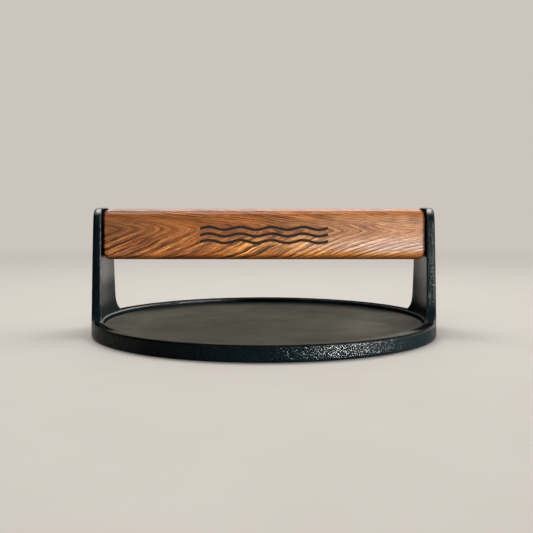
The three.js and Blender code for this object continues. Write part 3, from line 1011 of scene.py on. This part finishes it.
    # painted sheen: the broad faces carry a thin pinkish painted sheen, lighter to the right; the long edges show clear
    # golden oil
    rim = g.m("MAXIMUM", g.sub(BAR_D / 2, g.m("ABSOLUTE", y)), g.sub(BAR_H / 2, g.m("ABSOLUTE", z)))
    gold = g.step(g.add(rim, g.mul(w2, 5.0)), 6.5, 2.5)
    painted_sheen = g.mul(g.step(x, -25.0, 85.0), g.sub(1.0, g.mul(gold, 0.85)))
    # painted light: the lower front, from the left third rightwards, is painted lighter
    painted_low_light = g.mul(g.step(x, -75.0, 0.0), g.step(z, 1.0, -6.0), g.sub(1.0, g.mul(gold, 0.5)))
    col = g.mix(g.mul(painted_sheen, 0.70), col, g.mix(1.0, col, (1.30, 1.85, 2.60), "MULTIPLY"))
    col = g.mix(g.mul(painted_sheen, 0.12), col, (0.40, 0.24, 0.16))
    col = g.mix(painted_low_light, col, g.mix(1.0, col, (1.46, 1.68, 1.88), "MULTIPLY"))
    col = g.mix(g.mul(gold, 0.75), col, g.mix(1.0, col, (1.14, 0.93, 0.30), "MULTIPLY"))
    nx, ny, nz = g.split(g.normal())
    col = g.mix(1.0, col, (1.0, 0.87, 0.64), "MULTIPLY")
    # painted shade: the upper left of the bar is painted darker
    col = g.mix(g.mul(g.step(x, -45.0, -85.0), g.step(z, -4.0, 3.0)), col, g.mix(1.0, col, (0.78, 0.82, 0.96), "MULTIPLY"))
    col = g.mix(painted_sheen, col, g.mix(1.0, col, (1.07, 1.21, 1.98), "MULTIPLY"))
    col = g.mix(g.mul(painted_sheen, painted_low_light), col, g.mix(1.0, col, (0.97, 1.08, 1.40), "MULTIPLY"))
    # painted shade: the faces that look down are painted darker
    col = g.mix(g.step(nz, -0.10, -0.75), col, g.mix(1.0, col, (0.42, 0.36, 0.30), "MULTIPLY"))
    # pores: short dark flecks along the grain
    pore = g.noise(g.vec(g.mul(gx, 1.5), g.mul(x, 0.30), g.mul(z, 1.2)), 1.0, 2.0, 0.6)
    pore = g.step(pore, 0.60, 0.70)
    col = g.mix(g.mul(pore, 0.45), col, (0.055, 0.021, 0.010))
    grain = g.noise(g.vec(g.mul(x, 0.16), g.mul(y, 2.0), g.mul(z, 2.0)), 1.0, 3.0, 0.6)
    col = g.mix(0.8, col, g.mix(1.0, col, g.ramp(grain, [(0.32, (0.66, 0.60, 0.55)), (0.68, (1.34, 1.38, 1.42))]), "MULTIPLY"))
    # end grain drinks more oil; the last 1.5 mm of each end is also painted darker and duller as painted shade
    endgrain_and_edge_shade = g.m("MAXIMUM", g.step(g.m("ABSOLUTE", nx), 0.20, 0.70), g.step(g.m("ABSOLUTE", x), BAR_L / 2 - 1.5, BAR_L / 2 - 0.7))
    col = g.mix(endgrain_and_edge_shade, col, g.mix(1.0, col, (0.34, 0.29, 0.26), "MULTIPLY"))
    # burnt lines on the front
    d = g.sub(g.add(z, -MOTIF_Z), g.mul(g.m("SINE", g.mul(x, 2 * math.pi / MOTIF_WAVE)), MOTIF_AMP))
    off = g.sub(g.m("FLOORED_MODULO", g.add(d, MOTIF_PITCH / 2), MOTIF_PITCH), MOTIF_PITCH / 2)
    ex = g.m("MAXIMUM", g.sub(g.m("ABSOLUTE", x), MOTIF_HALF_L), 0.0)
    r = g.m("SQRT", g.add(g.mul(off, off), g.mul(ex, ex)))
    inside = g.mul(g.step(g.m("ABSOLUTE", d), 1.5 * MOTIF_PITCH, 1.5 * MOTIF_PITCH - 0.01), g.step(y, -13.0, -13.4))
    burn = g.mul(g.step(r, MOTIF_HALF_T + 0.10, MOTIF_HALF_T - 0.12), inside)
    halo = g.mul(g.step(r, MOTIF_HALF_T + 0.65, MOTIF_HALF_T), inside)
    col = g.mix(g.mul(halo, 0.35), col, (0.085, 0.034, 0.016))
    char = g.ramp(g.noise(g.mm, 1.6, 3.0), [(0.3, (0.007, 0.006, 0.0055)), (0.7, (0.020, 0.017, 0.015))])
    col = g.mix(g.mul(burn, 0.97), col, char)
    rough = g.add(0.25, g.mul(grain, 0.10), g.mul(pore, 0.12), g.mul(burn, 0.40), g.mul(endgrain_and_edge_shade, 0.30))
    h = g.add(g.mul(pore, -1.0), g.mul(grain, 0.35), g.mul(line, -0.6), g.mul(hair, 0.35))
    b = g.bump(h, 0.00007)
    char_b = g.bump(g.noise(g.mm, 2.6, 3.0, 0.6), g.mul(burn, 0.00022), normal=b)
    g.set(color=col, rough=rough, spec=g.sub(0.85, g.m("MAXIMUM", g.mul(burn, 0.55), g.mul(endgrain_and_edge_shade, 0.75))), normal=char_b)
    return g.mat


def steel_material():
    g = Graph("stainless_steel")
    x, y, z = g.split(g.mm)
    P = g.mm
    turn = g.noise(g.vec(g.mul(x, 6.0), g.mul(y, 0.4), g.mul(z, 0.4)), 1.0, 3.0, 0.6)
    cloud = g.noise(P, 0.6, 3.0)
    fine = g.noise(P, 7.0, 2.0, 0.6)
    col = g.ramp(g.add(g.mul(cloud, 0.6), g.mul(turn, 0.4)), [(0.3, (0.42, 0.41, 0.39)), (0.7, (0.60, 0.59, 0.57))])
    g.set(color=col, metal=1.0, rough=g.add(0.22, g.mul(cloud, 0.14), g.mul(turn, 0.1)), normal=g.bump(g.add(turn, g.mul(fine, 0.5)), 0.000015))
    return g.mat


def brass_material():
    g = Graph("machined_brass")
    x, y, z = g.split(g.mm)
    turn = g.noise(g.vec(g.mul(x, 5.0), g.mul(y, 0.4), g.mul(z, 0.4)), 1.0, 3.0, 0.6)
    cloud = g.noise(g.mm, 0.5, 3.0)
    col = g.ramp(cloud, [(0.3, (0.50, 0.33, 0.11)), (0.7, (0.66, 0.47, 0.19))])
    g.set(color=col, metal=1.0, rough=g.add(0.24, g.mul(cloud, 0.16), g.mul(turn, 0.08)), normal=g.bump(turn, 0.000015))
    return g.mat


# ------------------------------------------------------------------ pieces
def give(ob, mat, node):
    ob.data.materials.clear()
    ob.data.materials.append(mat)
    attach(ob, "root")
    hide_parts(node)


iron, wood, steel, brass = iron_material(), wood_material(), steel_material(), brass_material()
give(build_casting(), iron, "cast_iron_body")
give(build_bar(), wood, "handle_bar")
for end, side in (("right", 1), ("left", -1)):
    for level, z in zip(("upper", "lower"), SCREW_Z):
        tag = f"{end}_{level}"
        give(build_screw(f"countersunk_screw_{tag}", side, z), steel, f"handle_screw_{tag}")
        give(build_washer(f"washer_{tag}", side, z), steel, f"spacer_washer_{tag}")
        give(build_insert(f"brass_insert_{tag}", side, z), brass, f"threaded_insert_{tag}")


# ------------------------------------------------------------------ floor, light, camera
BACKDROP = (0.600, 0.560, 0.515)


def stage_material():
    """A plain pale floor that fades into the backdrop's colour far away, so no horizon line shows."""
    g = Graph("studio_floor")
    n = g.noise(g.mm, 0.02, 3.0)
    g.set(color=g.ramp(n, [(0.3, (0.425, 0.404, 0.378)), (0.7, (0.440, 0.419, 0.393))]), rough=0.6, spec=0.25)
    x, y, z = g.split(g.mm)
    far = g.step(g.m("SQRT", g.add(g.mul(x, x), g.mul(y, y))), 260.0, 1100.0)
    path = g.nt.nodes.new("ShaderNodeLightPath")
    glow = g.nt.nodes.new("ShaderNodeEmission")
    glow.inputs[0].default_value = (*BACKDROP, 1)
    both = g.nt.nodes.new("ShaderNodeMixShader")
    g.feed(both.inputs[0], g.mul(far, path.outputs["Is Camera Ray"]))
    g.nt.links.new(g.bsdf.outputs[0], both.inputs[1])
    g.nt.links.new(glow.outputs[0], both.inputs[2])
    g.nt.links.new(both.outputs[0], g.out.inputs["Surface"])
    return g.mat


floor = make_object("studio_floor", [(-8, -8, 0), (8, -8, 0), (8, 8, 0), (-8, 8, 0)], [(0, 1, 2, 3)], smooth=False)
floor.data.materials.append(stage_material())

# the room: pale behind the object and overhead, dim on the camera's side; the camera itself sees one plain tone
world = bpy.data.worlds.new("studio")
bpy.context.scene.world = world
world.use_nodes = True
wt = world.node_tree
bg = wt.nodes["Background"]


def wnode(kind, *inputs, **props):
    n = wt.nodes.new(kind)
    for k, v in props.items():
        setattr(n, k, v)
    for k, v in enumerate(inputs):
        if isinstance(v, bpy.types.NodeSocket):
            wt.links.new(v, n.inputs[k])
        elif v is not None:
            n.inputs[k].default_value = v
    return n.outputs[0]


sep = wt.nodes.new("ShaderNodeSeparateXYZ")
wt.links.new(wt.nodes.new("ShaderNodeTexCoord").outputs["Generated"], sep.inputs[0])
back = wnode("ShaderNodeMapRange", sep.outputs[1], -0.60, 0.45, 0.03, 0.80, interpolation_type="SMOOTHSTEP")
up = wnode("ShaderNodeMapRange", sep.outputs[2], 0.05, 0.50, 0.55, 1.0, interpolation_type="SMOOTHSTEP")
side = wnode("ShaderNodeMapRange", sep.outputs[0], -0.95, 0.0, 0.30, 1.0, interpolation_type="SMOOTHSTEP")
room = wnode("ShaderNodeMath", wnode("ShaderNodeMath", back, up, operation="MULTIPLY"), side, operation="MULTIPLY")
path = wt.nodes.new("ShaderNodeLightPath")
seen = wt.nodes.new("ShaderNodeMix")
seen.data_type = "RGBA"
wt.links.new(path.outputs["Is Camera Ray"], seen.inputs[0])
tint = wt.nodes.new("ShaderNodeVectorMath")
tint.operation = "SCALE"
tint.inputs[0].default_value = (1.0, 0.945, 0.885)
wt.links.new(room, tint.inputs["Scale"])
wt.links.new(tint.outputs[0], seen.inputs[6])
seen.inputs[7].default_value = (*BACKDROP, 1)
wt.links.new(seen.outputs[2], bg.inputs[0])
bg.inputs[1].default_value = 1.0


def area(name, at, look, size, power, color=(1, 1, 1)):
    l = bpy.data.lights.new(name, "AREA")
    l.shape, l.size, l.size_y = "RECTANGLE", size[0], size[1]
    l.energy, l.color = power, color
    o = bpy.data.objects.new(name, l)
    bpy.context.scene.collection.objects.link(o)
    o.location = at
    o.rotation_euler = (Vector(look) - Vector(at)).to_track_quat("-Z", "Y").to_euler()
    o.visible_camera = False
    return o


area("softbox_front", (-0.15, -0.75, 0.85), (0, 0, 0.04), (0.7, 0.5), 4.8, (1.0, 0.985, 0.96))
area("softbox_back", (0.0, 0.38, 0.92), (0, 0, 0.03), (1.2, 0.62), 12.5, (1.0, 0.985, 0.96))
area("softbox_right", (0.555, -0.445, 0.07), (0.04, -0.05, 0.03), (0.12, 0.10), 34.0, (1.0, 0.955, 0.91))
area("fill_right", (0.45, -0.58, 0.12), (0.03, -0.02, 0.06), (0.40, 0.30), 9.0).visible_glossy = False
area("strip_right", (0.80, 0.06, 0.22), (0, 0, 0.04), (0.20, 0.30), 1.0, (1.0, 0.96, 0.90))


def spare(light, slot, names):
    """Leave pieces out of what a light falls on (receiver_collection) or is shaded by (blocker_collection)."""
    c = bpy.data.collections.new(f"{light}_{slot}")
    for n in names:
        c.objects.link(bpy.data.objects[n])
    for k in c.collection_objects:
        k.light_linking.link_state = "EXCLUDE"
    setattr(bpy.data.objects[light].light_linking, slot, c)


fixings = [o.name for o in bpy.data.objects if o.name.startswith(("countersunk_screw", "washer", "brass_insert"))]
spare("softbox_back", "blocker_collection", ["hardwood_bar"])
spare("softbox_front", "blocker_collection", ["hardwood_bar"])
spare("fill_right", "blocker_collection", ["cast_body"])
spare("fill_right", "receiver_collection", ["studio_floor", "cast_body"] + fixings)
spare("softbox_right", "receiver_collection", ["studio_floor", "hardwood_bar"] + fixings)

cam = bpy.data.cameras.new("camera")
cam.lens, cam.sensor_width = 810.0 * 36.0 / 533.0, 36.0
cam.shift_x, cam.shift_y = 2.6 / 533.0, -61.5 / 533.0
cam.clip_start, cam.clip_end = 0.01, 50.0
camera = bpy.data.objects.new("camera", cam)
bpy.context.scene.collection.objects.link(camera)
camera.location = (0.0, -0.504, 0.078)
camera.rotation_euler = (math.radians(90), 0, 0)
bpy.context.scene.camera = camera
bpy.context.scene.view_settings.view_transform = "Standard"
bpy.context.scene.view_settings.look = "None"

bpy.context.view_layer.update()
